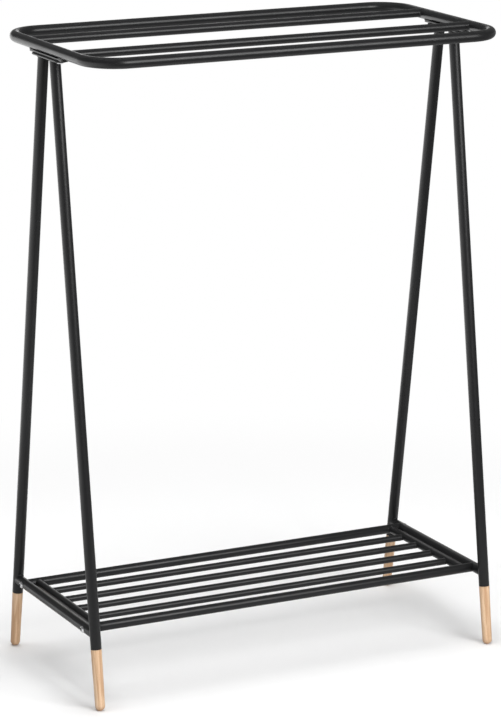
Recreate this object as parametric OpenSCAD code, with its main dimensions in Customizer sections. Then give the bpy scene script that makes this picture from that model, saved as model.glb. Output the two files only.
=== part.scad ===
// Free-standing valet stand: a bent-tube top loop with two inner hanging rails, carried by
// an A-frame of two splayed legs at each end, with a slatted shelf between the A-frames.
// Units are millimetres. +Z is up, the front is -Y, the left is -X.
// The origin is on the floor, at the middle of the stand.

/* [Overall] */
// Distance between the centre planes of the left and right A-frames
span = 647; // [520:1:800]
// Height of the top loop's centre line above the floor
rail_h = 936; // [760:1:1150]
// Distance between the leg axes of one A-frame, at the floor
foot_spread = 315; // [250:1:390]
// Distance between the leg axes of one A-frame, under the leg plate
top_spread = 41; // [32:1:60]

/* [Top loop] */
// Depth of the loop between its tubes' centre lines
loop_d = 325; // [260:1:400]
// Outer diameter of the loop's tube
loop_tube_d = 16; // [13:0.5:20]
// Wall of the loop's tube and of the inner rails
loop_wall = 1.2; // [1:0.1:2]
// Bend radius of the loop's corners, on the centre line
corner_r = 50; // [30:1:70]
// Outer diameter of the two inner rails
inner_rail_d = 13; // [10:0.5:13.5]
// Distance between the two inner rails' axes
inner_rail_pitch = 144; // [100:1:170]
// Height of the inner rails' axes above the loop's centre line
inner_rail_rise = 1; // [0:0.1:1.2]

/* [Top plates] */
// Thickness of the frame plate and of the leg plate
plate_t = 3; // [2.5:0.1:4]
// Width of the frame plate, which is welded under the loop
frame_plate_w = 12; // [11:0.5:18]
// How far the frame plate reaches past the leg plate, at each end
frame_plate_reach = 12; // [5:1:25]
// Depth of the seat that the loop's tube lies in, in the frame plate
plate_seat = 0.4; // [0.2:0.1:0.8]
// How far the leg plate stands out past the leg tubes, at each side
leg_plate_lip = 1; // [0:0.5:3]
// Distance from a leg's axis to the bolt beside it, at the leg plate
bolt_offset = 18.5; // [17:0.5:25]
// Distance from a bolt to the end of the leg plate
plate_end = 9; // [7:0.5:12]

/* [Legs] */
// Outer diameter of the leg tubes
leg_d = 16; // [13:0.5:20]
// Wall of the leg tubes
leg_wall = 1.5; // [1:0.1:2]

/* [Feet] */
// Height of the joint between a foot and its leg tube
foot_h = 88.6; // [72:0.1:92]
// Diameter of the foot's rounded tip
foot_tip_d = 14.4; // [11:0.1:16]
// Length of the spigot that goes up into the leg tube
spigot_l = 30; // [15:1:40]
// Gap between the spigot and the tube's bore, all round
spigot_gap = 0.1; // [0.05:0.05:0.4]
// Depth of the small flat that the foot stands on
foot_flat = 0.5; // [0.3:0.1:1]

/* [Shelf] */
// Height of the shelf's rails and crossbars above the floor
shelf_h = 110; // [102:1:200]
// Outer diameter of the crossbars, between the legs
crossbar_d = 15; // [14.5:0.5:18]
// Wall of the crossbars
crossbar_wall = 1.5; // [1:0.1:2]
// Outer diameter of the front and rear shelf rails
shelf_rail_d = 14; // [12.5:0.5:14]
// Wall of the shelf rails and of the shelf's end bars
shelf_wall = 1.2; // [1:0.1:1.6]
// Distance from a leg's axis to the shelf rail beside it, at shelf height
rail_inset = 28.7; // [24:0.1:45]
// Outer diameter of the shelf's end bars
end_bar_d = 12; // [11:0.5:12]
// Distance from a crossbar's axis to the end bar beside it
end_bar_inset = 20; // [16:0.5:30]
// Outer diameter of the slats
slat_d = 10; // [8:0.5:10.5]
// Wall of the slats
slat_wall = 1; // [0.8:0.1:1.5]
// How far the slats' axes lie below those of the shelf rails
slat_drop = 1; // [0:0.1:1]

/* [Fasteners] */
// Thread diameter of all the bolts
bolt_d = 6; // [5:1:6]
// Diameter of the domed bolt heads
head_d = 10.5; // [9:0.5:12]
// Height of the domed bolt heads
head_h = 3.3; // [2.8:0.1:4]
// Width across the flats of the hexagon socket
socket_af = 4; // [3:0.5:4]
// Depth of the hexagon socket
socket_depth = 2; // [1.5:0.1:2.2]
// Length of the shelf bolts, under the head
shelf_bolt_l = 30; // [26:1:32]
// Length of the plate bolts, under the head
plate_bolt_l = 12; // [9:1:14]
// Length of the threaded inserts in the ends of the shelf rails
insert_l = 18; // [12:1:25]
// Depth of the flat seat under a shelf bolt's head, in the crossbar
bolt_seat = 0.6; // [0.3:0.1:0.8]
// Gap between a bolt and its thread, all round
thread_gap = 0.05; // [0.02:0.01:0.1]
// Gap between a bolt and a plain hole, all round
hole_gap = 0.25; // [0.1:0.05:0.5]

/* [Hidden] */
$fn = 64;

LEFT = -1;
RIGHT = 1;
FRONT = -1;
REAR = 1;

coat = [0.17, 0.17, 0.18];
beech = [0.86, 0.71, 0.55];
black_steel = [0.09, 0.09, 0.10];
zinc = [0.62, 0.62, 0.60];

past = 5;                                      // how far a cutting shape runs past what it cuts
far = 60;                                      // size of the blocks that trim the legs and feet

half_span = span / 2;
loop_half = loop_d / 2;

// The stack under the loop's end tubes: frame plate, leg plate, legs
frame_plate_top = rail_h - loop_tube_d / 2 + plate_seat;
frame_plate_z = frame_plate_top - plate_t;
leg_plate_z = frame_plate_z - plate_t;
plate_bolt_y = top_spread / 2 + bolt_offset;
leg_plate_l = 2 * (plate_bolt_y + plate_end);
frame_plate_l = leg_plate_l + 2 * frame_plate_reach;
leg_plate_w = leg_d + 2 * leg_plate_lip;

// A leg's axis runs from the floor to the underside of its leg plate
lean = atan((foot_spread - top_spread) / 2 / leg_plate_z);
leg_l = leg_plate_z / cos(lean);
foot_l = foot_h / cos(lean);
function leg_y(z) = foot_spread / 2 - z * tan(lean);

// The shelf hangs between the crossbars
rail_y = leg_y(shelf_h) - rail_inset;
slat_count = 4;                                // one for each shelf_slat node
slat_pitch = 2 * rail_y / (slat_count + 1);
end_bar_x = half_span - end_bar_inset;
head_x = half_span + crossbar_d / 2 - bolt_seat;

// The head is a slice of a ball that passes through the rim and the crown
head_ball_r = (pow(head_d / 2, 2) + pow(head_h, 2)) / (2 * head_h);

// A round bar of diameter d from x0 to x1
module bar_x(d, x0, x1, y, z) {
    translate([x0, y, z]) rotate([0, 90, 0]) cylinder(d = d, h = x1 - x0);
}

// A round bar of diameter d from y0 to y1
module bar_y(d, x, y0, y1, z) {
    translate([x, y0, z]) rotate([-90, 0, 0]) cylinder(d = d, h = y1 - y0);
}

// The loop's outline as a solid round bar of diameter d, with four bent corners
module loop_bar(d) {
    x = half_span - corner_r;
    y = loop_half - corner_r;
    for (mx = [0, 1]) mirror([mx, 0, 0]) {
        bar_y(d, half_span, -y, y, rail_h);
        for (my = [0, 1]) mirror([0, my, 0])
            translate([x, y, rail_h])
                rotate_extrude(angle = 90) translate([corner_r, 0]) circle(d = d);
    }
    for (my = [0, 1]) mirror([0, my, 0]) bar_x(d, -x, x, loop_half, rail_h);
}

// Puts its children on a leg's axis, with the floor at zero and +Z up the leg
module on_leg(side, end) {
    translate([side * half_span, end * foot_spread / 2, 0]) rotate([end * lean, 0, 0]) children();
}

// A plate with round ends, lying along Y
module round_plate(w, l, z, side) {
    translate([side * half_span, 0, z])
        linear_extrude(plate_t)
            union() {
                square([w, l - w], center = true);
                for (end = [FRONT, REAR]) translate([0, end * (l - w) / 2]) circle(d = w);
            }
}

// Upright holes at the two plate bolts of one side
module plate_holes(side, d, z0, z1) {
    for (end = [FRONT, REAR])
        translate([side * half_span, end * plate_bolt_y, z0]) cylinder(d = d, h = z1 - z0);
}

// Holes along X at one shelf rail's two bolts
module shelf_holes(end, d) {
    bar_x(d, -head_x - past, head_x + past, end * rail_y, shelf_h);
}

// A domed bolt with its shank along -Z and the underside of its head at zero
module bolt(shank_l) {
    difference() {
        union() {
            intersection() {
                translate([0, 0, head_h - head_ball_r]) sphere(r = head_ball_r);
                cylinder(d = head_d + past, h = head_h + past);
            }
            translate([0, 0, -shank_l]) cylinder(d = bolt_d, h = shank_l);
        }
        translate([0, 0, head_h - socket_depth])
            cylinder(d = socket_af / cos(30), h = socket_depth + past, $fn = 6);
    }
}

module top_loop() {
    color(coat) difference() {
        loop_bar(loop_tube_d);
        loop_bar(loop_tube_d - 2 * loop_wall);
        for (side = [LEFT, RIGHT])
            plate_holes(side, bolt_d + 4 * hole_gap, frame_plate_z, rail_h);
    }
}

// An inner rail's ends are coped to the outside of the loop's end tubes
module inner_rail(end) {
    y = end * inner_rail_pitch / 2;
    z = rail_h + inner_rail_rise;
    color(coat) difference() {
        bar_x(inner_rail_d, -half_span, half_span, y, z);
        bar_x(inner_rail_d - 2 * loop_wall, -half_span - past, half_span + past, y, z);
        for (side = [LEFT, RIGHT])
            bar_y(loop_tube_d, side * half_span, y - inner_rail_d, y + inner_rail_d, rail_h);
    }
}

// The frame plate is tapped for the plate bolts
module frame_plate(side) {
    color(coat) difference() {
        round_plate(frame_plate_w, frame_plate_l, frame_plate_z, side);
        bar_y(loop_tube_d, side * half_span, -frame_plate_l, frame_plate_l, rail_h);
        plate_holes(side, bolt_d + 2 * thread_gap, frame_plate_z - past, frame_plate_top + past);
    }
}

// The leg plate has plain holes for the plate bolts
module leg_plate(side) {
    color(coat) difference() {
        round_plate(leg_plate_w, leg_plate_l, leg_plate_z, side);
        plate_holes(side, bolt_d + 2 * hole_gap, leg_plate_z - past, frame_plate_z + past);
    }
}

// A leg is cut level under its plate, and square at the foot
module leg(side, end) {
    color(coat) difference() {
        on_leg(side, end) difference() {
            translate([0, 0, foot_l]) cylinder(d = leg_d, h = leg_l - foot_l + past);
            cylinder(d = leg_d - 2 * leg_wall, h = leg_l + far);
        }
        translate([side * half_span - far / 2, end * top_spread / 2 - far / 2, leg_plate_z])
            cube(far);
    }
}

// A turned foot: spigot, tapered body and rounded tip with a small flat to stand on
module foot(side, end) {
    tip_r = foot_tip_d / 2;
    tip_l = (tip_r - foot_flat) / cos(lean);
    color(beech) difference() {
        on_leg(side, end) union() {
            translate([0, 0, tip_l]) sphere(r = tip_r);
            translate([0, 0, tip_l]) cylinder(r1 = tip_r, d2 = leg_d, h = foot_l - tip_l);
            translate([0, 0, foot_l])
                cylinder(d = leg_d - 2 * leg_wall - 2 * spigot_gap, h = spigot_l);
        }
        translate([side * half_span - far / 2, end * foot_spread / 2 - far / 2, -far]) cube(far);
    }
}

// A crossbar is coped to its two legs and drilled for the shelf bolts
module crossbar(side) {
    y = leg_y(shelf_h);
    x = side * half_span;
    color(coat) difference() {
        bar_y(crossbar_d, x, -y, y, shelf_h);
        bar_y(crossbar_d - 2 * crossbar_wall, x, -y - past, y + past, shelf_h);
        for (end = [FRONT, REAR]) {
            on_leg(side, end) cylinder(d = leg_d, h = leg_l);
            shelf_holes(end, bolt_d + 2 * hole_gap);
            bar_x(head_d + 2 * hole_gap, min(side * head_x, side * (head_x + past)),
                  max(side * head_x, side * (head_x + past)), end * rail_y, shelf_h);
        }
    }
}

// What a shelf rail or an insert loses to the crossbars at its two ends
module crossbar_cope(end) {
    for (side = [LEFT, RIGHT])
        bar_y(crossbar_d, side * half_span, end * rail_y - crossbar_d,
              end * rail_y + crossbar_d, shelf_h);
}

// A shelf rail is a tube whose ends are coped to the crossbars
module shelf_rail(end) {
    color(coat) difference() {
        bar_x(shelf_rail_d, -half_span, half_span, end * rail_y, shelf_h);
        bar_x(shelf_rail_d - 2 * shelf_wall, -half_span - past, half_span + past,
              end * rail_y, shelf_h);
        crossbar_cope(end);
    }
}

// Threaded plugs welded into the four ends of the shelf rails
module shelf_inserts() {
    inner = half_span - crossbar_d / 2 - insert_l;
    color(zinc) for (end = [FRONT, REAR], side = [LEFT, RIGHT])
        difference() {
            bar_x(shelf_rail_d - 2 * shelf_wall, min(side * inner, side * half_span),
                  max(side * inner, side * half_span), end * rail_y, shelf_h);
            shelf_holes(end, bolt_d + 2 * thread_gap);
            crossbar_cope(end);
        }
}

// An end bar is coped to the two shelf rails, and carries the slats
module shelf_end_bar(side) {
    x = side * end_bar_x;
    color(coat) difference() {
        bar_y(end_bar_d, x, -rail_y, rail_y, shelf_h);
        bar_y(end_bar_d - 2 * shelf_wall, x, -rail_y - past, rail_y + past, shelf_h);
        for (end = [FRONT, REAR])
            bar_x(shelf_rail_d, x - end_bar_d, x + end_bar_d, end * rail_y, shelf_h);
    }
}

// Slat i, counted from the front, is coped to the two end bars
module shelf_slat(i) {
    y = -rail_y + i * slat_pitch;
    z = shelf_h - slat_drop;
    color(coat) difference() {
        bar_x(slat_d, -end_bar_x, end_bar_x, y, z);
        bar_x(slat_d - 2 * slat_wall, -end_bar_x - past, end_bar_x + past, y, z);
        for (side = [LEFT, RIGHT])
            bar_y(end_bar_d, side * end_bar_x, y - slat_d, y + slat_d, shelf_h);
    }
}

// Four bolts through the crossbars into the shelf rails' inserts
module shelf_bolts() {
    color(black_steel) for (end = [FRONT, REAR], side = [LEFT, RIGHT])
        translate([side * head_x, end * rail_y, shelf_h])
            rotate([0, side * 90, 0]) bolt(shelf_bolt_l);
}

// Four bolts up through the leg plates into the frame plates
module plate_bolts() {
    color(black_steel) for (end = [FRONT, REAR], side = [LEFT, RIGHT])
        translate([side * half_span, end * plate_bolt_y, leg_plate_z])
            rotate([180, 0, 0]) bolt(plate_bolt_l);
}

top_loop();
inner_rail(FRONT);  // inner_rail_front
inner_rail(REAR);  // inner_rail_rear
frame_plate(LEFT);  // frame_plate_left
frame_plate(RIGHT);  // frame_plate_right
leg_plate(LEFT);  // leg_plate_left
leg_plate(RIGHT);  // leg_plate_right
leg(LEFT, FRONT);  // leg_front_left
leg(LEFT, REAR);  // leg_rear_left
leg(RIGHT, FRONT);  // leg_front_right
leg(RIGHT, REAR);  // leg_rear_right
foot(LEFT, FRONT);  // foot_front_left
foot(LEFT, REAR);  // foot_rear_left
foot(RIGHT, FRONT);  // foot_front_right
foot(RIGHT, REAR);  // foot_rear_right
crossbar(LEFT);  // crossbar_left
crossbar(RIGHT);  // crossbar_right
shelf_rail(FRONT);  // shelf_rail_front
shelf_rail(REAR);  // shelf_rail_rear
shelf_end_bar(LEFT);  // shelf_end_bar_left
shelf_end_bar(RIGHT);  // shelf_end_bar_right
shelf_slat(1);  // shelf_slat_1
shelf_slat(2);  // shelf_slat_2
shelf_slat(3);  // shelf_slat_3
shelf_slat(4);  // shelf_slat_4
shelf_inserts();
shelf_bolts();
plate_bolts();
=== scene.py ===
# %% [markdown]
# # A valet stand of bent tube with wooden feet
#
# The stand is black powder-coated tube on four turned beech feet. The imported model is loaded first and
# is never touched: it says where every tube, plate and bolt is, in metres, with +Z up, the front at -Y
# and the left at -X. Each visible piece is then made again around it, with the roundings, the welds and
# the surfaces that a workshop leaves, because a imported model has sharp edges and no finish.

# %% Load the frame
import math

import bmesh
import bpy
from mathutils import Matrix, Vector


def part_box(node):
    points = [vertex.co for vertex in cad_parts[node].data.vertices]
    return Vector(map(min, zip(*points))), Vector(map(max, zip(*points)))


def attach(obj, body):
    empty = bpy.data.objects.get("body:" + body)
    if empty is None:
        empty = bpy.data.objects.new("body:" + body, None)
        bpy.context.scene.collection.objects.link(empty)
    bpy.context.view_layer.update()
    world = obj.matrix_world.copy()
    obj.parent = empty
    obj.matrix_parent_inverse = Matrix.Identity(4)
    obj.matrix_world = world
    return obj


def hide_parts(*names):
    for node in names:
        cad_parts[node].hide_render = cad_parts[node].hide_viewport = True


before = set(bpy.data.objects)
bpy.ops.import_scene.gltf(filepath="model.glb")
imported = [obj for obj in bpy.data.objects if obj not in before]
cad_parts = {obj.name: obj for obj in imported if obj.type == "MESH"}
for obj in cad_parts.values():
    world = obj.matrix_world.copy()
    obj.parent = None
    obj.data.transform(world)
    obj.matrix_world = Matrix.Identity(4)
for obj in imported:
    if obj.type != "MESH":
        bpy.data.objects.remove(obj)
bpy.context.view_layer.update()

# %% [markdown]
# ## The sizes that everything shares
#
# A node's box gives most sizes: a level tube's box is as high as the tube is thick, and its middle is the
# tube's axis. Reading them here, instead of typing them again, keeps the pieces on the frame if the frame
# changes. Leaning tubes and bends don't show in a box, so those few sizes are named.

# %% Read the sizes from the frame
MM = 0.001
FOOT_SPREAD = 315 * MM
TOP_SPREAD = 41 * MM
CORNER_RADIUS = 50 * MM
UP = Vector((0, 0, 1))
SIDES = {"left": -1, "right": 1}
ENDS = {"front": -1, "rear": 1}


def middle(node):
    """The middle of a node's box."""
    low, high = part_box(node)
    return (low + high) / 2


def thickness(node):
    """How high a node's box is, which is a level tube's diameter."""
    low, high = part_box(node)
    return high.z - low.z


loop_low, loop_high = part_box("top_loop")
LOOP_R = (loop_high.z - loop_low.z) / 2
RAIL_Z = (loop_high.z + loop_low.z) / 2
HALF_SPAN = loop_high.x - LOOP_R
LOOP_HALF = loop_high.y - LOOP_R
leg_low, leg_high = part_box("leg_front_left")
LEG_R = (leg_high.x - leg_low.x) / 2
LEG_TOP = leg_high.z
LEAN = math.atan((FOOT_SPREAD - TOP_SPREAD) / 2 / LEG_TOP)
SHELF_Z = middle("crossbar_left").z
CROSSBAR_R = thickness("crossbar_left") / 2
SHELF_RAIL_R = thickness("shelf_rail_front") / 2
SHELF_RAIL_Y = middle("shelf_rail_rear").y
END_BAR_R = thickness("shelf_end_bar_left") / 2
END_BAR_X = middle("shelf_end_bar_right").x
print("Half span, rail height and shelf height in mm:",
      [round(1000 * size, 1) for size in (HALF_SPAN, RAIL_Z, SHELF_Z)])
print("Lean of the legs in degrees:", round(math.degrees(LEAN), 2))

# %% [markdown]
# ## The camera
#
# A long lens from nearly five metres keeps the uprights almost parallel, as in a catalogue picture. The
# camera is placed by its bearing and its height over the horizon, like a tripod that is walked round the
# stand, because those two angles can be changed one at a time.

# %% Place the camera
AZIMUTH = -26.95
ELEVATION = 14.46
ROLL = 0.215
DISTANCE = 4.781
LENS = 160.6
FARTHEST = 100.0
AIM = Vector((-0.0036, 0.0, 0.4473))


def camera_at(azimuth, elevation, roll, distance, aim):
    """Makes a camera that looks at aim from that bearing."""
    turn, rise = math.radians(azimuth), math.radians(elevation)
    back = Vector((math.sin(turn) * math.cos(rise), -math.cos(turn) * math.cos(rise), math.sin(rise)))
    camera = bpy.data.objects.new("tripod_camera", bpy.data.cameras.new("tripod_camera"))
    bpy.context.scene.collection.objects.link(camera)
    camera.data.lens = LENS
    camera.data.clip_end = FARTHEST
    facing = (-back).to_track_quat("-Z", "Y").to_matrix().to_4x4()
    level = Matrix.Translation(aim + back * distance) @ facing
    camera.matrix_world = level @ Matrix.Rotation(math.radians(roll), 4, "Z")
    return camera


bpy.context.scene.camera = camera_at(AZIMUTH, ELEVATION, ROLL, DISTANCE, AIM)
print("Camera at", [round(x, 2) for x in bpy.context.scene.camera.matrix_world.translation])

# %% [markdown]
# ## Helpers for nodes
#
# A material is a small network. Two helpers keep it readable: one adds a node and sets its options and
# the values of its sockets, and the other makes a Principled material that is ready for its network.

# %% Add nodes and materials
def add(tree, kind, inputs=None, **options):
    """Adds a node to a tree. inputs maps a socket to a value, or to the socket that feeds it."""
    node = tree.nodes.new(kind)
    for option, value in options.items():
        setattr(node, option, value)
    for socket, value in (inputs or {}).items():
        if isinstance(value, bpy.types.NodeSocket):
            tree.links.new(value, node.inputs[socket])
        else:
            node.inputs[socket].default_value = value
    return node


def node_material(name, **constants):
    """A node material, its tree and its Principled shader, with constants set on the shader's sockets."""
    material = bpy.data.materials.new(name)
    material.use_nodes = True
    shader = material.node_tree.nodes["Principled BSDF"]
    for socket, value in constants.items():
        shader.inputs[socket.replace("_", " ")].default_value = value
    return material, material.node_tree, shader


def ramp(tree, source, low, high, bottom=0.0, top=1.0):
    """Maps source from low..high to bottom..top with soft ends, and gives the socket of the result."""
    node = add(tree, "ShaderNodeMapRange", {"Value": source}, interpolation_type="SMOOTHSTEP")
    for socket, value in (("From Min", low), ("From Max", high), ("To Min", bottom), ("To Max", top)):
        node.inputs[socket].default_value = value
    return node.outputs["Result"]


def mix_colours(tree, share, first, second):
    """Mixes two colours, each a socket or a tuple, and gives the socket of the result."""
    node = add(tree, "ShaderNodeMix", data_type="RGBA")
    for place, value in ((0, share), (6, first), (7, second)):
        if isinstance(value, bpy.types.NodeSocket):
            tree.links.new(value, node.inputs[place])
        else:
            node.inputs[place].default_value = value
    return node.outputs[2]


def sums(tree, operation, *values):
    """One Math node on its values, each a socket or a number, and the socket of its result."""
    return add(tree, "ShaderNodeMath", dict(enumerate(values)), operation=operation).outputs[0]


print("Helpers ready: add, node_material, ramp, mix_colours, sums")

# %% [markdown]
# ## A plain studio
#
# A catalogue picture has an open white floor and no horizon. The floor is a pale disc that takes the soft
# shade of the shelf, and its colour is painted a little greyer under the stand, as painted shade that
# deepens that shade. Further out it shines by itself, as the lit end of a studio sweep does, and so do the
# low walls, most of all behind on the left, because black gloss shows nothing but what stands round it.
# The eye sees plain white, but the tubes mirror a duller floor and duller walls, as in a studio where the
# paper is only made white when the picture is finished. A world with one even colour would be simpler, but
# then the tubes would look flat and grey all round.

# %% Floor and walls
WHITE = (1, 1, 1, 1)
FLOOR_RADIUS = 12.0
FLOOR_SIDES = 96
# The eye sees the floor greyer under the stand: painted shade that fades out to the plain white around it.
FLOOR_PAINTED_SHADE, FLOOR_AROUND = 0.785, 0.86         # how white the eye sees it under the stand and around it
UNDER, AROUND = 0.30, 0.75                      # how far from the middle those two reach
FLOOR_THROWN = (0.62, 0.62, 0.62, 1)            # what it throws back at the stand
MOTTLE_GREY = (0.7, 0.7, 0.7, 1)
MOTTLE_MOST = 0.012
SHINE_FROM, SHINE_FULL = 0.55, 1.35             # where the floor starts to shine by itself
GLOW_WAY = (-0.72, 0.69, 0.0)
GLOW_FROM, GLOW_FULL = -0.3, 0.95
GLOW_LEAST, GLOW_MOST = 0.28, 2.2
WALL_FOOT, WALL_TOP = -0.06, 0.14
SKY_STRENGTH = 0.16


def glow(tree, way):
    """How brightly the studio throws light back from a level direction, strongest behind on the left."""
    flat = add(tree, "ShaderNodeVectorMath", {0: way, 1: (1, 1, 0)}, operation="MULTIPLY")
    unit = add(tree, "ShaderNodeVectorMath", {0: flat.outputs[0]}, operation="NORMALIZE")
    towards = add(tree, "ShaderNodeVectorMath", {0: unit.outputs[0], 1: GLOW_WAY}, operation="DOT_PRODUCT")
    return ramp(tree, towards.outputs["Value"], GLOW_FROM, GLOW_FULL, GLOW_LEAST, GLOW_MOST)


def seen_or_lighting(tree, brightness):
    """Plain white where the camera looks straight at it, and that brightness where it lights the stand."""
    direct = add(tree, "ShaderNodeLightPath").outputs["Is Camera Ray"]
    lighting = sums(tree, "SUBTRACT", 1.0, direct)
    return sums(tree, "ADD", direct, sums(tree, "MULTIPLY", lighting, brightness))


def make_floor():
    """A round pale floor, staged and no part of the stand, with a faint mottle and painted shade under the
    stand.
    """
    bm = bmesh.new()
    bmesh.ops.create_circle(bm, cap_ends=True, segments=FLOOR_SIDES, radius=FLOOR_RADIUS)
    mesh = bpy.data.meshes.new("studio_floor")
    bm.to_mesh(mesh)
    bm.free()
    floor = bpy.data.objects.new("studio_floor", mesh)
    bpy.context.scene.collection.objects.link(floor)
    material, tree, shader = node_material("studio_floor", Roughness=0.9)
    place = add(tree, "ShaderNodeTexCoord").outputs["Object"]
    mottle = add(tree, "ShaderNodeTexNoise", {"Vector": place, "Scale": 3.0, "Detail": 2.0})
    away = add(tree, "ShaderNodeVectorMath", {0: place}, operation="LENGTH").outputs["Value"]
    # Painted shade: the floor that the eye sees is greyer near the middle, under the stand.
    seen = ramp(tree, away, UNDER, AROUND, FLOOR_PAINTED_SHADE, FLOOR_AROUND)
    direct = add(tree, "ShaderNodeLightPath").outputs["Is Camera Ray"]
    pale = mix_colours(tree, direct, FLOOR_THROWN, seen)
    faint = ramp(tree, mottle.outputs["Fac"], 0.3, 0.7, 0, MOTTLE_MOST)
    tree.links.new(mix_colours(tree, faint, pale, MOTTLE_GREY), shader.inputs["Base Color"])
    lit = add(tree, "ShaderNodeEmission", {"Strength": seen_or_lighting(tree, glow(tree, place))})
    share = ramp(tree, away, SHINE_FROM, SHINE_FULL)
    both = add(tree, "ShaderNodeMixShader", {0: share, 1: shader.outputs[0], 2: lit.outputs[0]})
    tree.links.new(both.outputs[0], tree.nodes["Material Output"].inputs["Surface"])
    mesh.materials.append(material)


def make_walls():
    """The world: white to the eye, with low bright walls behind on the left and a dim upper part."""
    world = bpy.data.worlds.new("studio_walls")
    bpy.context.scene.world = world
    world.use_nodes = True
    tree = world.node_tree
    way = add(tree, "ShaderNodeTexCoord").outputs["Generated"]
    height = add(tree, "ShaderNodeSeparateXYZ", {0: way}).outputs["Z"]
    wall = sums(tree, "MULTIPLY", glow(tree, way), ramp(tree, height, WALL_FOOT, WALL_TOP, 1, 0))
    lighting = sums(tree, "ADD", wall, SKY_STRENGTH)
    tree.links.new(seen_or_lighting(tree, lighting), tree.nodes["Background"].inputs["Strength"])
    tree.nodes["Background"].inputs["Color"].default_value = WHITE


make_floor()
make_walls()
bpy.context.scene.view_settings.view_transform = "Standard"
print("Floor of", 2 * FLOOR_RADIUS, "m across, and walls that shine up to", WALL_TOP, "of the way up")

# %% [markdown]
# ## Four soft lamps
#
# The ceiling lamp makes the shade under the shelf, and the low one in front lights the wooden feet. Both
# are left out of reflections, as a polarising filter leaves them out, so that the top of each tube stays
# black. The two that do show are the tall one in front, which draws the long highlights on the rails and
# the fine second line on the front legs, and the one behind on the right, which draws the thin line along
# the end tubes and the crossbars. Fewer lamps would light the stand too, but without these lines.

# %% Hang the lamps
def softbox(name, place, towards, size, radiance, mirrored=True):
    """A soft lamp that faces a point. How bright it looks is given, whatever its size."""
    light = bpy.data.lights.new(name, "AREA")
    light.shape = "RECTANGLE"
    light.size, light.size_y = size
    light.energy = radiance * math.pi * size[0] * size[1]
    lamp = bpy.data.objects.new(name, light)
    bpy.context.scene.collection.objects.link(lamp)
    place, towards = Vector(place), Vector(towards)
    facing = (towards - place).to_track_quat("-Z", "Y").to_matrix().to_4x4()
    lamp.matrix_world = Matrix.Translation(place) @ facing
    lamp.visible_camera = False
    lamp.visible_glossy = mirrored
    print(name, "draws", round(light.energy), "W")


softbox("ceiling_softbox", (-0.25, 0.2, 2.7), (-0.1, 0, 0), (2.1, 1.8), 6.0, mirrored=False)
softbox("low_softbox", (-1.3, -3.2, 0.65), (0, 0, 0.3), (1.5, 1.1), 7.0, mirrored=False)
softbox("front_softbox", (0.75, -2.45, 1.76), (0, 0, 0.8), (1.8, 1.45), 8.4)
softbox("rear_softbox", (1.4, 2.9, 1.2), (0, 0, 0.7), (0.8, 1.4), 1.5)

# %% [markdown]
# ## What several finishes share
#
# Three effects come back in more than one finish, so each is a node group that is built once. The first
# is a fine grain, for the skin of a powder coat, the pores of wood or the tooth of blackened steel. The
# second is a slow patchiness, because no finish is quite even over a hand's width. The third is the dust
# that settles on whatever faces up. Each group gives out a plain value, and the material decides what it
# does with it.

# %% Shared groups
def new_group(name, inputs, output):
    """A shader group that takes a Vector and some values and gives one value, and its two end nodes."""
    tree = bpy.data.node_groups.new(name, "ShaderNodeTree")
    tree.interface.new_socket("Vector", in_out="INPUT", socket_type="NodeSocketVector")
    for label, value in inputs.items():
        tree.interface.new_socket(label, in_out="INPUT", socket_type="NodeSocketFloat").default_value = value
    tree.interface.new_socket(output, in_out="OUTPUT", socket_type="NodeSocketFloat")
    return tree, tree.nodes.new("NodeGroupInput"), tree.nodes.new("NodeGroupOutput")


FINER, FINER_SHARE = 2.7, 0.35
CLUMPS = 260.0


def make_fine_grain():
    """Small bumps at a scale, with a finer set on top."""
    tree, given, result = new_group("fine_grain", {"Scale": 800.0, "Sharpness": 0.5}, "Height")
    coarse = add(tree, "ShaderNodeTexNoise", {
        "Vector": given.outputs["Vector"], "Scale": given.outputs["Scale"], "Detail": 1.0,
        "Roughness": given.outputs["Sharpness"]})
    finer = sums(tree, "MULTIPLY", given.outputs["Scale"], FINER)
    fine = add(tree, "ShaderNodeTexNoise", {
        "Vector": given.outputs["Vector"], "Scale": finer, "Detail": 0.0})
    height = sums(tree, "MULTIPLY_ADD", fine.outputs["Fac"], FINER_SHARE, coarse.outputs["Fac"])
    tree.links.new(height, result.inputs["Height"])
    return tree


def make_patchiness():
    """A slow change from 0 to 1, with softer and firmer patches."""
    tree, given, result = new_group("patchiness", {"Scale": 12.0}, "Value")
    cloud = add(tree, "ShaderNodeTexNoise", {
        "Vector": given.outputs["Vector"], "Scale": given.outputs["Scale"], "Detail": 3.0,
        "Distortion": 0.4})
    tree.links.new(ramp(tree, cloud.outputs["Fac"], 0.32, 0.68), result.inputs["Value"])
    return tree


def make_settled_dust():
    """A mask of dust: only on what faces up, and in soft clumps."""
    tree, given, result = new_group("settled_dust", {"Amount": 0.5}, "Mask")
    normal = add(tree, "ShaderNodeNewGeometry").outputs["Normal"]
    upward = add(tree, "ShaderNodeSeparateXYZ", {0: normal}).outputs["Z"]
    clumps = add(tree, "ShaderNodeTexNoise", {
        "Vector": given.outputs["Vector"], "Scale": CLUMPS, "Detail": 4.0, "Roughness": 0.7})
    thick = ramp(tree, clumps.outputs["Fac"], 0.35, 0.8)
    layer = sums(tree, "MULTIPLY", ramp(tree, upward, 0.55, 1.0), thick)
    tree.links.new(sums(tree, "MULTIPLY", layer, given.outputs["Amount"]), result.inputs["Mask"])
    return tree


GROUPS = {"grain": make_fine_grain(), "patches": make_patchiness(), "dust": make_settled_dust()}


def group(tree, kind, vector, **values):
    """Places a shared group in a material and gives the socket of its result."""
    node = add(tree, "ShaderNodeGroup", node_tree=GROUPS[kind])
    tree.links.new(vector, node.inputs["Vector"])
    for label, value in values.items():
        node.inputs[label].default_value = value
    return node.outputs[0]


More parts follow.
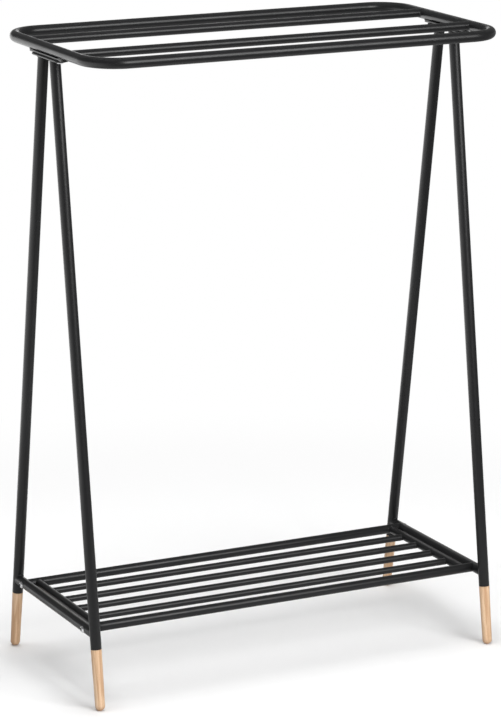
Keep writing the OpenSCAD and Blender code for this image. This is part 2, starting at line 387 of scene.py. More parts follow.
def bump(tree, shader, height, distance):
    """Feeds a height into the shader's Normal. distance is the depth of the relief in metres."""
    node = add(tree, "ShaderNodeBump", {"Height": height, "Distance": distance, "Strength": 1.0})
    tree.links.new(node.outputs["Normal"], shader.inputs["Normal"])


print("Shared groups:", ", ".join(sorted(GROUPS)))

# %% [markdown]
# ## Satin powder coat
#
# The frame is coated after it is welded: a dry black powder is charged, sprayed on and baked. It flows
# into a skin like very fine orange peel, a little smoother here and there. It lies thicker and duller in
# the corners of the welds, whose vertices carry a mask called recess, and there its colour is also darkened
# as painted shade. Hands and hangers rub the top rails a little smoother. Rubbed-off edges are left out:
# this coat is new and doesn't chip in its first years.

# %% The coat
COAT_BLACK = (0.0098, 0.0099, 0.0104, 1)
COAT_DEEP = (0.0068, 0.0068, 0.0072, 1)
DUST_GREY = (0.11, 0.108, 0.10, 1)
PEEL_SCALE = 780.0
PEEL_DEPTH = 0.05 * MM
COAT_PATCHES = 14.0
COAT_SMOOTH, COAT_DULL = 0.31, 0.37             # roughness, from patch to patch
# The patches deepen the black at random; in the welds the black is darkened as painted shade.
DEEPER_IN_PATCHES, PAINTED_SHADE_IN_WELDS = 0.45, 0.6
DULLER_IN_WELDS, DULLER_IN_DUST = 0.09, 0.5
RUBBED_FROM, RUBBED_FULL = 0.90, 0.93           # heights in metres
RUBBED_SMOOTHER = 0.04


def make_powder_coat():
    """Satin black with orange peel, duller in the welds and painted with shade there, faintly dusty on top.
    """
    material, tree, shader = node_material("powder_coat", IOR=1.36)
    place = add(tree, "ShaderNodeTexCoord").outputs["Object"]
    patches = group(tree, "patches", place, Scale=COAT_PATCHES)
    peel = group(tree, "grain", place, Scale=PEEL_SCALE, Sharpness=0.55)
    dust = group(tree, "dust", place, Amount=0.10)
    recess = add(tree, "ShaderNodeAttribute", attribute_name="recess").outputs["Fac"]
    colour = mix_colours(tree, ramp(tree, patches, 0, 1, 0, DEEPER_IN_PATCHES), COAT_BLACK, COAT_DEEP)
    # Painted shade: the recess mask darkens the coat in the corners of the welds.
    colour = mix_colours(tree, sums(tree, "MULTIPLY", recess, PAINTED_SHADE_IN_WELDS), colour, COAT_DEEP)
    colour = mix_colours(tree, dust, colour, DUST_GREY)
    tree.links.new(colour, shader.inputs["Base Color"])
    height = add(tree, "ShaderNodeSeparateXYZ", {0: place}).outputs["Z"]
    rubbed = sums(tree, "MULTIPLY", ramp(tree, height, RUBBED_FROM, RUBBED_FULL), RUBBED_SMOOTHER)
    rough = sums(tree, "SUBTRACT", ramp(tree, patches, 0, 1, COAT_SMOOTH, COAT_DULL), rubbed)
    rough = sums(tree, "MULTIPLY_ADD", recess, DULLER_IN_WELDS, rough)
    rough = sums(tree, "MULTIPLY_ADD", dust, DULLER_IN_DUST, rough)
    tree.links.new(rough, shader.inputs["Roughness"])
    bump(tree, shader, peel, PEEL_DEPTH)
    return material


FINISHES = {"powder_coat": make_powder_coat()}
print("Powder coat: peel about", round(1000 / PEEL_SCALE, 1), "mm across")

# %% [markdown]
# ## Lacquered beech
#
# Beech is pale and pinkish, with close lengthwise streaks and many short dark flecks. The grain has to
# run along each foot, and every foot leans another way. So each vertex remembers where it was on the
# upright blank before it was leaned, in an attribute called blank, and the pattern reads that. Broad
# streaks and growth rings set the tone, fine streaks and flecks lie over them, and the tip near the floor
# is a little darker: partly grime, and partly painted shade where the foot stands on the floor.

# %% The wood
BEECH_PALE = (0.72, 0.51, 0.335, 1)
BEECH_WARM = (0.47, 0.28, 0.155, 1)
BEECH_FLECK = (0.30, 0.155, 0.075, 1)
# The colour of the tip near the floor: partly grime, partly painted shade where the foot stands.
TIP_GRIME_SHADE = (0.40, 0.22, 0.12, 1)
BROAD_STREAKS = (190, 13)                       # scales across and along the blank
GROWTH_RINGS = (52, 2.5)
FINE_STREAKS = (1100, 32)
FLECKS = (900, 230)
PORES = (1.0, 0.08)
BROAD_SHARE, RING_SHARE = 0.72, 0.26            # how much each adds to the warm tone
FINE_MOST, FLECK_MOST, TIP_GRIME_SHADE_MOST = 0.5, 0.30, 0.45
TIP_FROM, TIP_FULL = 9 * MM, 1 * MM
PORE_SCALE = 1300.0
PORE_DEPTH = 0.04 * MM
LACQUER_PATCHES = 60.0
LACQUER_SMOOTH, LACQUER_DULL = 0.42, 0.52


def stretched(tree, vector, across, along):
    """Coordinates for a pattern that is drawn out along the blank."""
    return add(tree, "ShaderNodeMapping", {"Vector": vector, "Scale": (across, across, along)}).outputs[0]


def make_beech():
    """Streaks, growth rings and flecks along the turned blank, under a thin satin lacquer."""
    material, tree, shader = node_material("beech", IOR=1.45, Coat_Weight=0.12, Coat_Roughness=0.35)
    blank = add(tree, "ShaderNodeAttribute", attribute_name="blank").outputs["Vector"]
    broad = add(tree, "ShaderNodeTexNoise", {
        "Vector": stretched(tree, blank, *BROAD_STREAKS), "Scale": 1.0, "Detail": 3.0, "Distortion": 0.6})
    rings = add(tree, "ShaderNodeTexWave", {
        "Vector": stretched(tree, blank, *GROWTH_RINGS), "Scale": 1.0, "Distortion": 2.2, "Detail": 2.0})
    fine = add(tree, "ShaderNodeTexNoise", {
        "Vector": stretched(tree, blank, *FINE_STREAKS), "Scale": 1.0, "Detail": 2.0})
    flecks = add(tree, "ShaderNodeTexVoronoi", {
        "Vector": stretched(tree, blank, *FLECKS), "Scale": 1.0}, feature="F1")
    warm = sums(tree, "MULTIPLY", ramp(tree, broad.outputs["Fac"], 0.38, 0.62), BROAD_SHARE)
    warm = sums(tree, "ADD", warm, sums(tree, "MULTIPLY", rings.outputs["Fac"], RING_SHARE))
    colour = mix_colours(tree, warm, BEECH_PALE, BEECH_WARM)
    thin = ramp(tree, fine.outputs["Fac"], 0.48, 0.75, 0, FINE_MOST)
    colour = mix_colours(tree, thin, colour, BEECH_WARM)
    spots = ramp(tree, flecks.outputs["Distance"], 0.30, 0.12)
    colour = mix_colours(tree, sums(tree, "MULTIPLY", spots, FLECK_MOST), colour, BEECH_FLECK)
    height = add(tree, "ShaderNodeSeparateXYZ", {0: blank}).outputs["Z"]
    # Darker towards the tip: partly grime, partly painted shade where the foot stands on the floor.
    colour = mix_colours(tree, ramp(tree, height, TIP_FROM, TIP_FULL, 0, TIP_GRIME_SHADE_MOST), colour, TIP_GRIME_SHADE)
    tree.links.new(colour, shader.inputs["Base Color"])
    patches = group(tree, "patches", blank, Scale=LACQUER_PATCHES)
    tree.links.new(ramp(tree, patches, 0, 1, LACQUER_SMOOTH, LACQUER_DULL), shader.inputs["Roughness"])
    pores = group(tree, "grain", stretched(tree, blank, *PORES), Scale=PORE_SCALE, Sharpness=0.6)
    bump(tree, shader, pores, PORE_DEPTH)
    return material


FINISHES["beech"] = make_beech()
print("Beech: the grain follows the attribute blank")

# %% [markdown]
# ## Blackened steel and zinc
#
# The button-head bolts are blackened in a hot bath. The polished dome stays smooth and catches a bright
# rim, and the socket, which carries the recess mask, is painted dark as painted shade. The threaded plugs
# in the shelf rails are zinc-plated and never seen once the stand is built, but they get their spangle too.

# %% The metals
# Painted shade for the bolt sockets and any other recess.
RECESS_PAINTED_SHADE = (0.03, 0.03, 0.032, 1)
TOOTH_SCALE = 2600.0
TOOTH_DEPTH = 0.01 * MM


def make_metal(name, dark, light, smooth, dull, patch_scale):
    """Metal slowly changing between two tones, with painted shade in its recesses and a fine surface tooth.
    """
    material, tree, shader = node_material(name, Metallic=1.0)
    place = add(tree, "ShaderNodeTexCoord").outputs["Object"]
    patches = group(tree, "patches", place, Scale=patch_scale)
    tone = mix_colours(tree, patches, dark, light)
    recess = add(tree, "ShaderNodeAttribute", attribute_name="recess").outputs["Fac"]
    # Painted shade: the recess mask darkens the socket.
    tone = mix_colours(tree, recess, tone, RECESS_PAINTED_SHADE)
    dust = group(tree, "dust", place, Amount=0.08)
    tree.links.new(mix_colours(tree, dust, tone, DUST_GREY), shader.inputs["Base Color"])
    tree.links.new(ramp(tree, patches, 0, 1, smooth, dull), shader.inputs["Roughness"])
    bump(tree, shader, group(tree, "grain", place, Scale=TOOTH_SCALE, Sharpness=0.6), TOOTH_DEPTH)
    return material


FINISHES["black_bolt"] = make_metal(
    "black_bolt", dark=(0.64, 0.64, 0.65, 1), light=(0.80, 0.80, 0.81, 1), smooth=0.30, dull=0.40,
    patch_scale=320.0)
FINISHES["zinc_steel"] = make_metal(
    "zinc_steel", dark=(0.50, 0.51, 0.52, 1), light=(0.66, 0.67, 0.68, 1), smooth=0.28, dull=0.45,
    patch_scale=700.0)
print("Finishes:", ", ".join(FINISHES))

# %% [markdown]
# ## One way to make every tube
#
# A tube could be a cylinder from create_cone, but its ends have to be bent, welded or cut to fit. So a
# tube starts as a ring of vertices. Its rim is extruded again and again, and each time the fresh rim is
# put where the next section of the tube belongs. Every vertex keeps which way is outwards in a layer of
# the mesh, and extruding copies it, so that a rim can be widened or pulled in without being measured. A
# second layer marks the vertices of welds and sockets, where the finishes paint shade, and where the coat
# is also duller.

# %% Rings and rims
SEGMENTS = 96


def layered_mesh():
    """An empty bmesh that can store which way is outwards, and whether a vertex lies in a recess."""
    bm = bmesh.new()
    bm.verts.layers.float_vector.new("outward")
    bm.verts.layers.float.new("recess")
    return bm


def start_ring(bm, centre, way, radius, segments=SEGMENTS):
    """Makes a ring of vertices round a line, and gives the rim of edges between them."""
    turn = UP.rotation_difference(way).to_matrix().to_4x4()
    made = bmesh.ops.create_circle(
        bm, segments=segments, radius=radius, matrix=Matrix.Translation(centre) @ turn)
    outward = bm.verts.layers.float_vector["outward"]
    for vert in made["verts"]:
        vert[outward] = (vert.co - centre).normalized()
    return list(dict.fromkeys(edge for vert in made["verts"] for edge in vert.link_edges))


def grow(bm, rim, place, recess=0.0):
    """Extrudes a rim, puts each fresh vertex where place(outward) says, and gives the fresh rim."""
    made = bmesh.ops.extrude_edge_only(bm, edges=rim)["geom"]
    fresh = [part for part in made if isinstance(part, bmesh.types.BMVert)]
    outward, mask = bm.verts.layers.float_vector["outward"], bm.verts.layers.float["recess"]
    for vert in fresh:
        vert.co = place(vert[outward])
        vert[mask] = recess
    known = set(fresh)
    return [part for part in made if isinstance(part, bmesh.types.BMEdge) and known.issuperset(part.verts)]


def close(bm, rim):
    """Fills a rim with one face."""
    bmesh.ops.contextual_create(bm, geom=rim)


print("Tubes have", SEGMENTS, "sides")

# %% [markdown]
# ## Where a tube meets its neighbour
#
# Two round tubes that meet leave a saddle-shaped seam. Each line along the tube's wall is followed until
# it hits the other tube, which is one quadratic equation. The weld is a hollow fillet: it leaves the tube
# a little before the seam and runs out on the other piece a little beside it. A welder's torch moves in
# steps, so the fillet carries small scales, and it is a bit fuller on one side. A boolean and a bevel
# could make the fillet too, but not the scales.

# %% Where a line meets a round bar
def round_surface(point, along, radius):
    """Two functions: how far a line runs to a round bar, and the nearest point of the bar's surface."""
    def hit(start, way):
        across = way - along * way.dot(along)
        offset = (start - point) - along * (start - point).dot(along)
        a, b, c = across.dot(across), offset.dot(across), offset.dot(offset) - radius ** 2
        return (-b - math.sqrt(max(b * b - a * c, 0))) / a

    def settle(spot):
        inside = point + along * (spot - point).dot(along)
        return inside + (spot - inside).normalized() * radius

    return hit, settle


print("A line that meets a bar of 1 m radius head on, from 3 m away, runs",
      round_surface(Vector(), UP, 1.0)[0](Vector((-3, 0, 0)), Vector((1, 0, 0))), "m")

# %% Welded ends
WELD_STEPS = 7
WELD_SCALES = 24
SCALE_DEPTH = 0.07
UNEVEN = 0.08
WELD_LEAD = 1.25
WELD_SINK = 0.3 * MM


def welded_end(bm, rim, centre, way, radius, surface, bead):
    """Grows a rim along way to another piece's surface and runs it out in a fillet of weld."""
    hit, settle = surface
    side = way.orthogonal().normalized()
    other = way.cross(side)

    def seam(out):
        start = centre + out * radius
        return start + way * hit(start, way)

    def fillet(share):
        def place(out):
            angle = math.atan2(out.dot(other), out.dot(side))
            size = bead * (1 + SCALE_DEPTH * math.sin(WELD_SCALES * angle) + UNEVEN * math.sin(angle + 1))
            corner = seam(out)
            top = corner - way * size
            toe = settle(corner + out * size)
            return top * (1 - share) ** 2 + corner * 2 * share * (1 - share) + toe * share ** 2
        return place

    rim = grow(bm, rim, lambda out: seam(out) - way * bead * WELD_LEAD)
    for step in range(WELD_STEPS + 1):
        rim = grow(bm, rim, fillet(step / WELD_STEPS), recess=1.0)
    rim = grow(bm, rim, lambda out: seam(out) + way * WELD_SINK, recess=1.0)
    close(bm, rim)


def straight_tube(bm, start, end, radius, finish_start, finish_end):
    """A tube between two points. Each finish is a function that grows and closes one of its ends."""
    centre, way = (start + end) / 2, (end - start).normalized()
    rim = start_ring(bm, centre, way, radius)
    finish_end(bm, rim, centre, way, radius)
    finish_start(bm, rim, centre, -way, radius)


def weld_to(surface, bead):
    """A finish for straight_tube: the end is welded to a surface."""
    return lambda bm, rim, centre, way, radius: welded_end(bm, rim, centre, way, radius, surface, bead)


print("Weld scales round a leg:", round(2000 * math.pi * LEG_R / WELD_SCALES, 1), "mm apart")

# %% [markdown]
# ## From a bmesh to a finished piece
#
# A finished piece rides on the stand's one body, hides the imported node that it stands for, and takes its
# finish from one of the record's slots. Its faces are shaded smooth, except across real corners.

# %% Finish a piece
MERGE_WITHIN = 0.002 * MM
CORNER = 40


def finish_piece(name, bm, node, slot, corner=CORNER):
    """Turns a bmesh into a piece that stands for a node."""
    bmesh.ops.remove_doubles(bm, verts=bm.verts, dist=MERGE_WITHIN)
    bmesh.ops.recalc_face_normals(bm, faces=bm.faces)
    mesh = bpy.data.meshes.new(name)
    bm.to_mesh(mesh)
    bm.free()
    mesh.shade_smooth()
    mesh.set_sharp_from_angle(angle=math.radians(corner))
    mesh.materials.append(FINISHES[slot])
    piece = bpy.data.objects.new(name, mesh)
    bpy.context.scene.collection.objects.link(piece)
    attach(piece, "root")
    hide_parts(node)
    print(name, "has", len(mesh.vertices), "vertices")


def finish_tube(name, node, start, end, radius, finish_start, finish_end):
    """Makes a straight coated tube as a finished piece."""
    bm = layered_mesh()
    straight_tube(bm, Vector(start), Vector(end), radius, finish_start, finish_end)
    finish_piece(name, bm, node, "powder_coat")


print("Corners over", CORNER, "degrees stay sharp")

# %% [markdown]
# ## The top loop
#
# The loop is one long tube that a bender turned four times, with its ends butted and ground under one of
# the plates. A ring starts in the middle of the front rail, is extruded along each straight, and is spun
# round each corner. The last rim comes back to the first ring and is merged with it. A curve with a
# bevel would give the same tube, but the spin keeps every section square to the bend.

# %% Bend the loop
BEND_STEPS = 28


def fresh_verts(geom):
    """The vertices among what an operator made."""
    return [part for part in geom if isinstance(part, bmesh.types.BMVert)]


def make_top_loop():
    """The bent tube of the top: five straight pushes with four spun corners between them."""
    bm = layered_mesh()
    rim = start_ring(bm, Vector((0, -LOOP_HALF, RAIL_Z)), Vector((1, 0, 0)), LOOP_R)
    x, y = HALF_SPAN - CORNER_RADIUS, LOOP_HALF - CORNER_RADIUS
    pushes = ((x, 0), (0, 2 * y), (-2 * x, 0), (0, -2 * y))
    corners = ((x, -y), (x, y), (-x, y), (-x, -y))
    for push, corner in zip(pushes, corners):
        made = bmesh.ops.extrude_edge_only(bm, edges=rim)["geom"]
        bmesh.ops.translate(bm, vec=(*push, 0), verts=fresh_verts(made))
        rim = [part for part in made if not isinstance(part, bmesh.types.BMFace)]
        spun = bmesh.ops.spin(
            bm, geom=rim, cent=(*corner, RAIL_Z), axis=UP, angle=math.radians(90), steps=BEND_STEPS,
            use_merge=False, use_duplicate=False)
        rim = [part for part in spun["geom_last"] if isinstance(part, bmesh.types.BMEdge)]
    made = bmesh.ops.extrude_edge_only(bm, edges=rim)["geom"]
    bmesh.ops.translate(bm, vec=(x, 0, 0), verts=fresh_verts(made))
    finish_piece("top_loop_tube", bm, "top_loop", "powder_coat")


make_top_loop()

# %% [markdown]
# ## The inner rails
#
# Two thinner rails cross the loop. Their ends are coped, which means cut to the curve of the tube that
# they meet, and welded all round. They are the plainest tubes of the stand: straight, with two welds.

# %% Weld the inner rails in
RAIL_BEAD = 2.0 * MM


def end_tube(side):
    """The surface of the loop's left or right end tube."""
    return round_surface(Vector((SIDES[side] * HALF_SPAN, 0, RAIL_Z)), Vector((0, 1, 0)), LOOP_R)


welds = [weld_to(end_tube(side), RAIL_BEAD) for side in SIDES]
for end in ENDS:
    node = "inner_rail_" + end
    at = middle(node)
    finish_tube("inner_rail_tube_" + end, node, (-HALF_SPAN, at.y, at.z), (HALF_SPAN, at.y, at.z),
                thickness(node) / 2, *welds)

# %% [markdown]
# ## The plates between loop and legs
#
# Under each end of the loop a narrow plate is welded to the tube, and a wider one carries the two legs.
# Bolts draw the two together, so that the stand packs flat. A filled circle is parted into two round
# ends and pushed up to the plate's thickness, and its sharp rims are bevelled: the narrow plate is only
# deburred, and the wide one is well rounded, since hands reach it. The narrow plate also gets the short
# runs of weld that hold it to the tube: small worms whose rings swell and shrink with the torch.

# %% Cut the plates
FRAME_PLATE_EDGE = 0.4 * MM
LEG_PLATE_EDGE = 1.3 * MM
EDGE_STEPS = 5
SHARP = math.radians(60)


def plate_mesh(node, rounding):
    """A round-ended plate with its edges rounded by that much, as a bmesh."""
    low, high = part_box(node)
    wide, long, thick = high - low
    centre = middle(node)
    bm = layered_mesh()
    half_step = Matrix.Rotation(math.pi / SEGMENTS, 4, "Z")     # so that no vertex lies on the parting line
    bmesh.ops.create_circle(bm, cap_ends=True, segments=SEGMENTS, radius=wide / 2,
                            matrix=Matrix.Translation((centre.x, centre.y, low.z)) @ half_step)
    for way in ENDS.values():
        half = [vert for vert in bm.verts if (vert.co.y - centre.y) * way > 0]
        bmesh.ops.translate(bm, vec=(0, way * (long - wide) / 2, 0), verts=half)
    made = bmesh.ops.extrude_face_region(bm, geom=list(bm.faces))["geom"]
    bmesh.ops.translate(bm, vec=(0, 0, thick), verts=fresh_verts(made))
    rims = [edge for edge in bm.edges if edge.calc_face_angle(0) > SHARP]
    bmesh.ops.bevel(bm, geom=rims, offset=rounding, segments=EDGE_STEPS, profile=0.5, affect="EDGES",
                    material=-1)
    return bm


for side in SIDES:
    node = "leg_plate_" + side
    finish_piece("leg_plate_blank_" + side, plate_mesh(node, LEG_PLATE_EDGE), node, "powder_coat")

# %% Weld the frame plates
RUN_LENGTH = 16 * MM
RUN_RADIUS = 1.5 * MM
RUN_TIP = 0.2
RUN_RINGS = 24
RUN_SIDES = 16
RUN_WAVES = 5.5
RUN_WAVE_DEPTH = 0.09
RUN_INSET = 1.1 * RUN_RADIUS
RUN_RISE = 0.4 * RUN_RADIUS


def run_swell(share):
    """How thick a run of weld is at a share of its length: round at its ends, with small scales."""
    round_ends = math.sqrt(max(1 - (2 * share - 1) ** 6, RUN_TIP ** 2))
    return round_ends * (1 + RUN_WAVE_DEPTH * math.sin(2 * math.pi * RUN_WAVES * share))


def weld_run(bm, start, end, radius):
    """A short run of weld between two points."""
    first = rim = start_ring(bm, start, (end - start).normalized(), radius * RUN_TIP, RUN_SIDES)
    for ring in range(1, RUN_RINGS + 1):
        share = ring / RUN_RINGS
        centre, thick = start.lerp(end, share), radius * run_swell(share)
        rim = grow(bm, rim, lambda out: centre + out * thick, recess=1.0)
    close(bm, first)
    close(bm, rim)


def make_frame_plate(side):
    """The narrow plate, with a short weld on each side of the tube at both of its ends."""
    node = "frame_plate_" + side
    low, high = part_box(node)
    bm = plate_mesh(node, FRAME_PLATE_EDGE)
    half = Vector((0, RUN_LENGTH / 2, 0))
    aside = (high.x - low.x) / 2 - RUN_INSET
    for flank in SIDES.values():
        for way in ENDS.values():
            tip = Vector((middle(node).x + flank * aside, way * (high.y - RUN_RADIUS), high.z + RUN_RISE))
            centre = tip - way * half
            weld_run(bm, centre - half, centre + half, RUN_RADIUS)
    finish_piece("frame_plate_blank_" + side, bm, node, "powder_coat")


for side in SIDES:
    make_frame_plate(side)

# %% [markdown]
# ## The legs
#
# Each leg leans towards its partner. Its top is sawn to the lean and welded under the plate, and its
# foot end is sawn square, with the burr taken off and the bore left open for the wooden foot. So two new
# kinds of end are needed: one that stops at a plane, and one that is cut and deburred instead of welded.

# %% Cut ends
def flat_surface(height):
    """The same two functions as round_surface, for a level plate."""
    def hit(start, way):
        return (height - start.z) / way.z

    def settle(spot):
        return Vector((spot.x, spot.y, height))

    return hit, settle


def square_cut(point, way):
    """The first of those functions, for an end that is sawn square to way at a point. It has no second."""
    def hit(start, along):
        return (point - start).dot(way) / along.dot(way)

    return hit, None


DEBURR_ANGLES = (0, 30, 60, 90)


def cut_end(bm, rim, centre, way, radius, surface, rounding, bore=0.0, depth=0.0):
    """Grows a rim along way until it meets another piece, breaks its edge, and opens any bore."""
    hit = surface[0]

    def at(near, back):
        def place(out):
            start = centre + out * near
            return start + way * (hit(start, way) - back)
        return place

    for angle in DEBURR_ANGLES:
        turn = math.radians(angle)
        rim = grow(bm, rim, at(radius - rounding * (1 - math.cos(turn)), rounding * (1 - math.sin(turn))))
    if bore:
        for near, back in ((bore + rounding / 2, 0), (bore, rounding / 2), (bore, depth)):
            rim = grow(bm, rim, at(near, back))
    close(bm, rim)


def cut_to(surface, rounding, bore=0.0, depth=0.0):
    """A finish for straight_tube: the end is cut to fit a surface and its edge is broken."""
    return lambda bm, rim, centre, way, radius: cut_end(
        bm, rim, centre, way, radius, surface, rounding, bore, depth)


print("An edge is broken in", len(DEBURR_ANGLES) - 1, "steps")

# %% Weld the legs
LEG_BEAD = 1.0 * MM
LEG_EDGE = 0.5 * MM
LEG_WALL = 1.5 * MM
LEG_BORE = LEG_R - LEG_WALL
BORE_DEPTH = 34 * MM
FOOT_LENGTH = (leg_low.z + LEG_R * math.sin(LEAN)) / math.cos(LEAN)


def leg_line(side, end):
    """A leg's axis: the point where it meets the floor, and its way up."""
    foot = Vector((SIDES[side] * HALF_SPAN, ENDS[end] * FOOT_SPREAD / 2, 0))
    way = Vector((0, -ENDS[end] * math.sin(LEAN), math.cos(LEAN)))
    return foot, way


def make_leg(side, end):
    """A leg tube, welded under its plate and cut square at the foot."""
    foot, way = leg_line(side, end)
    bottom, top = foot + way * FOOT_LENGTH, foot + way * (LEG_TOP / math.cos(LEAN))
    finish_tube("leg_tube_" + end + "_" + side, "leg_" + end + "_" + side, bottom, top, LEG_R,
                cut_to(square_cut(bottom, way), LEG_EDGE, LEG_BORE, BORE_DEPTH),
                weld_to(flat_surface(LEG_TOP), LEG_BEAD))


for side in SIDES:
    for end in ENDS:
        make_leg(side, end)

# %% [markdown]
# ## The turned feet
#
# A foot is turned on a lathe, so it is made as a lathe works: half of its outline is drawn, and spun
# right round. The outline has the rounded tip, the slightly tapered body, a fine chamfer where it meets
# the tube, and the spigot that is glued up into the bore. Only then is the foot leaned, and a plane cuts
# its small flat at the floor. Before it leans, every vertex notes its place on the blank for the grain.

# %% Turn the feet
TIP_RADIUS = 7.2 * MM
TIP_SINK = 0.5 * MM
JOINT_CHAMFER = 0.35 * MM
SPIGOT_GAP = 0.1 * MM
SPIGOT_LENGTH = 30 * MM
SPIGOT_CHAMFER = 1.2 * MM
TIP_STEPS = 14
TURN_STEPS = 72
NEXT_BLANK = Vector((0.13, 0.07, 0))            # so that no two feet come from the same bit of wood


def foot_outline():
    """The half outline of a foot from its tip up, as distances from the axis and heights along it."""
    tip_centre = (TIP_RADIUS - TIP_SINK) / math.cos(LEAN)
    quarter = [math.radians(90 * step / TIP_STEPS) for step in range(TIP_STEPS + 1)]
    tip = [(TIP_RADIUS * math.sin(turn), tip_centre - TIP_RADIUS * math.cos(turn)) for turn in quarter]
    body = [(LEG_R, FOOT_LENGTH - JOINT_CHAMFER), (LEG_R - JOINT_CHAMFER, FOOT_LENGTH)]
    spigot_r, spigot_top = LEG_BORE - SPIGOT_GAP, FOOT_LENGTH + SPIGOT_LENGTH
    spigot = [(spigot_r, FOOT_LENGTH), (spigot_r, spigot_top - SPIGOT_CHAMFER),
              (spigot_r - SPIGOT_CHAMFER, spigot_top), (0, spigot_top)]
    return tip + body + spigot


def make_foot(side, end, number):
    """A turned foot, leaned to its leg and cut flat where it stands."""
    bm = bmesh.new()
    blank = bm.verts.layers.float_vector.new("blank")
    outline = [bm.verts.new((away, 0, height)) for away, height in foot_outline()]
    line = [bm.edges.new(pair) for pair in zip(outline, outline[1:])]
    bmesh.ops.spin(bm, geom=outline + line, cent=(0, 0, 0), axis=UP, angle=math.radians(360),
                   steps=TURN_STEPS, use_merge=True, use_duplicate=False)
    bmesh.ops.remove_doubles(bm, verts=bm.verts, dist=MERGE_WITHIN)
    for vert in bm.verts:
        vert[blank] = vert.co + NEXT_BLANK * number
    foot = leg_line(side, end)[0]
    leaned = Matrix.Translation(foot) @ Matrix.Rotation(ENDS[end] * LEAN, 4, "X")
    bmesh.ops.transform(bm, matrix=leaned, verts=bm.verts)
    cut = bmesh.ops.bisect_plane(bm, geom=[*bm.verts, *bm.edges, *bm.faces], plane_co=(0, 0, 0),
                                 plane_no=UP, clear_inner=True)["geom_cut"]
    bmesh.ops.contextual_create(bm, geom=[part for part in cut if isinstance(part, bmesh.types.BMEdge)])
    finish_piece("turned_foot_" + end + "_" + side, bm, "foot_" + end + "_" + side, "beech")


for number, (side, end) in enumerate((side, end) for side in SIDES for end in ENDS):
    make_foot(side, end, number)

# %% [markdown]
# ## The crossbars
#
# A crossbar ties each pair of legs at shelf height. It is coped to both legs and welded all round, and
# these are the fullest welds of the stand, because they carry the shelf.

# %% Weld the crossbars
BAR_BEAD = 2.3 * MM


def leg_surface(side, end):
    """The surface of a leg, for what is welded to it."""
    return round_surface(*leg_line(side, end), LEG_R)


for side in SIDES:
    x = SIDES[side] * HALF_SPAN
    welds = [weld_to(leg_surface(side, end), BAR_BEAD) for end in ENDS]
    finish_tube("crossbar_tube_" + side, "crossbar_" + side, (x, -SHELF_RAIL_Y, SHELF_Z),
                (x, SHELF_RAIL_Y, SHELF_Z), CROSSBAR_R, *welds)

# %% [markdown]
# ## The shelf
#
# The shelf is a ladder that is welded on its own and then bolted in. Two rails run from crossbar to
# crossbar and are only cut to their curve, since a bolt draws them up. The end bars are welded between
# the rails, and the four slats between the end bars, a millimetre lower.

# %% Weld the shelf
RAIL_EDGE = 0.4 * MM
SHELF_BEAD = 1.7 * MM
SLAT_BEAD = 1.4 * MM
SLATS = 4


def along_x(y, radius):
    """The surface of a shelf rail."""
    return round_surface(Vector((0, y, SHELF_Z)), Vector((1, 0, 0)), radius)


def along_y(x, radius):
    """The surface of a crossbar or an end bar."""
    return round_surface(Vector((x, 0, SHELF_Z)), Vector((0, 1, 0)), radius)


cuts = [cut_to(along_y(way * HALF_SPAN, CROSSBAR_R), RAIL_EDGE) for way in SIDES.values()]
for end in ENDS:
    y = ENDS[end] * SHELF_RAIL_Y
    finish_tube("shelf_rail_tube_" + end, "shelf_rail_" + end, (-HALF_SPAN, y, SHELF_Z),
                (HALF_SPAN, y, SHELF_Z), SHELF_RAIL_R, *cuts)
welds = [weld_to(along_x(way * SHELF_RAIL_Y, SHELF_RAIL_R), SHELF_BEAD) for way in ENDS.values()]
for side in SIDES:
    x = SIDES[side] * END_BAR_X
    finish_tube("shelf_end_bar_tube_" + side, "shelf_end_bar_" + side, (x, -SHELF_RAIL_Y, SHELF_Z),
                (x, SHELF_RAIL_Y, SHELF_Z), END_BAR_R, *welds)
welds = [weld_to(along_y(way * END_BAR_X, END_BAR_R), SLAT_BEAD) for way in SIDES.values()]
for number in range(1, SLATS + 1):
    node = "shelf_slat_" + str(number)
    at = middle(node)
    finish_tube("shelf_slat_tube_" + str(number), node, (-END_BAR_X, at.y, at.z),
                (END_BAR_X, at.y, at.z), thickness(node) / 2, *welds)

# %% [markdown]
# ## The bolts
#
# Eight M6 button-head bolts hold the stand together: four through the crossbars into the shelf rails,
# and four up through the plates. A bolt is turned and pressed, so it is made from rings again. The rings
# climb the domed head, the next ones are drawn in to a hexagon for the key, and the last ones go down
# the shank, which is left plain because nobody sees its thread.

# %% Make the bolts
HEAD_RADIUS = 5.25 * MM
HEAD_HEIGHT = 3.3 * MM
HEAD_EDGE = 0.3 * MM
DOME_RADIUS = (HEAD_RADIUS ** 2 + HEAD_HEIGHT ** 2) / (2 * HEAD_HEIGHT)
DOME_SINK = 0.03 * MM
SOCKET_RIM = 2.75 * MM
SOCKET_FLAT = 2.0 * MM
SOCKET_LIP = 1.12 * SOCKET_FLAT
SOCKET_LIP_DEPTH = 0.2 * MM
SOCKET_DEPTH = 2.0 * MM
DRILL_RADIUS = 0.4 * SOCKET_FLAT
DRILL_DEPTH = 0.3 * MM
SHANK_RADIUS = 3.0 * MM
SHANK_CHAMFER = 0.7 * MM
SHELF_SHANK = 30 * MM
PLATE_SHANK = 12 * MM
BOLT_SIDES = 48
DOME_STEPS = 7
BOLT_CORNER = 35
BOLT_SEAT = 0.6 * MM


def dome_height(away):
    """How high the dome stands over the head's underside, at a distance from its axis."""
    return HEAD_HEIGHT - DOME_RADIUS + math.sqrt(DOME_RADIUS ** 2 - away ** 2)


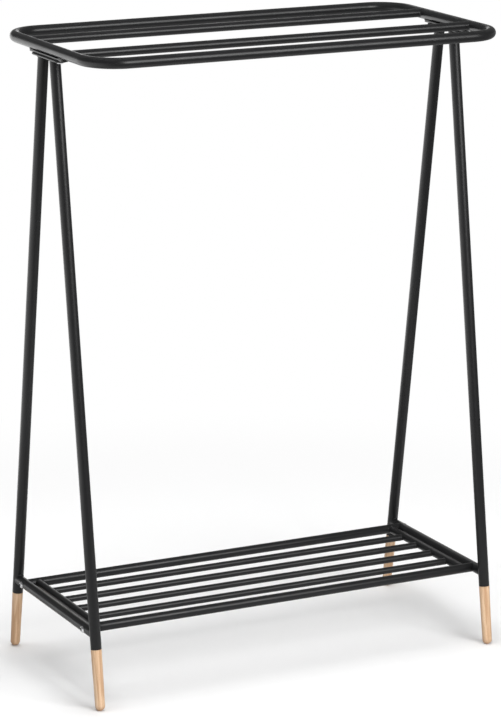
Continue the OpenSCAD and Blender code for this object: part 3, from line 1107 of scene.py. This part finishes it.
def add_bolt(bm, seat, way, shank):
    """A button-head bolt. Its head stands on seat and points along way, and its shank goes the other way."""
    first = start_ring(bm, seat, way, HEAD_RADIUS - HEAD_EDGE, BOLT_SIDES)
    side = Vector(first[0].verts[0][bm.verts.layers.float_vector["outward"]])
    other = way.cross(side)

    def ring(away, height):
        return lambda out: seat + out * away + way * height

    def hexagon(flat, height):
        def place(out):
            turn = math.degrees(math.atan2(out.dot(other), out.dot(side)))
            away = flat / math.cos(math.radians(turn % 60 - 30))
            return seat + out * away + way * height
        return place

    rim = grow(bm, first, ring(HEAD_RADIUS - 0.3 * HEAD_EDGE, 0.3 * HEAD_EDGE))
    for step in range(DOME_STEPS + 1):
        away = (HEAD_RADIUS - 0.5 * HEAD_EDGE) * (1 - step / DOME_STEPS) + SOCKET_RIM * step / DOME_STEPS
        rim = grow(bm, rim, ring(away, dome_height(away) - DOME_SINK))
    lip, floor = dome_height(SOCKET_RIM), HEAD_HEIGHT - SOCKET_DEPTH
    for place in (hexagon(SOCKET_LIP, lip), hexagon(SOCKET_FLAT, lip - SOCKET_LIP_DEPTH),
                  hexagon(SOCKET_FLAT, floor), ring(DRILL_RADIUS, floor - DRILL_DEPTH)):
        rim = grow(bm, rim, place, recess=1.0)
    close(bm, rim)
    rim = grow(bm, first, ring(SHANK_RADIUS, 0))
    rim = grow(bm, rim, ring(SHANK_RADIUS, SHANK_CHAMFER - shank))
    rim = grow(bm, rim, ring(SHANK_RADIUS - SHANK_CHAMFER, -shank))
    close(bm, rim)


def bolt_set(name, node, bolts, shank):
    """A group of bolts that stands for one node. bolts holds each one's seat and way."""
    bm = layered_mesh()
    for seat, way in bolts:
        add_bolt(bm, seat, way, shank)
    finish_piece(name, bm, node, "black_bolt", corner=BOLT_CORNER)


head_x = HALF_SPAN + CROSSBAR_R - BOLT_SEAT
shelf_bolts = [(Vector((side * head_x, end * SHELF_RAIL_Y, SHELF_Z)), Vector((side, 0, 0)))
               for side in SIDES.values() for end in ENDS.values()]
bolt_set("shelf_bolt_set", "shelf_bolts", shelf_bolts, SHELF_SHANK)
plate_bolt_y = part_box("plate_bolts")[1].y - HEAD_RADIUS
plate_bolts = [(Vector((side * HALF_SPAN, end * plate_bolt_y, LEG_TOP)), -UP)
               for side in SIDES.values() for end in ENDS.values()]
bolt_set("plate_bolt_set", "plate_bolts", plate_bolts, PLATE_SHANK)

# %% [markdown]
# ## What stays as it was packed
#
# The four threaded plugs inside the shelf rails have the right shape already and are hidden in the
# rails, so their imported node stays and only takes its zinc.

# %% Zinc the inserts
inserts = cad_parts["shelf_inserts"]
inserts.data.materials.clear()
inserts.data.materials.append(FINISHES["zinc_steel"])
print("shelf_inserts keeps its packed mesh")
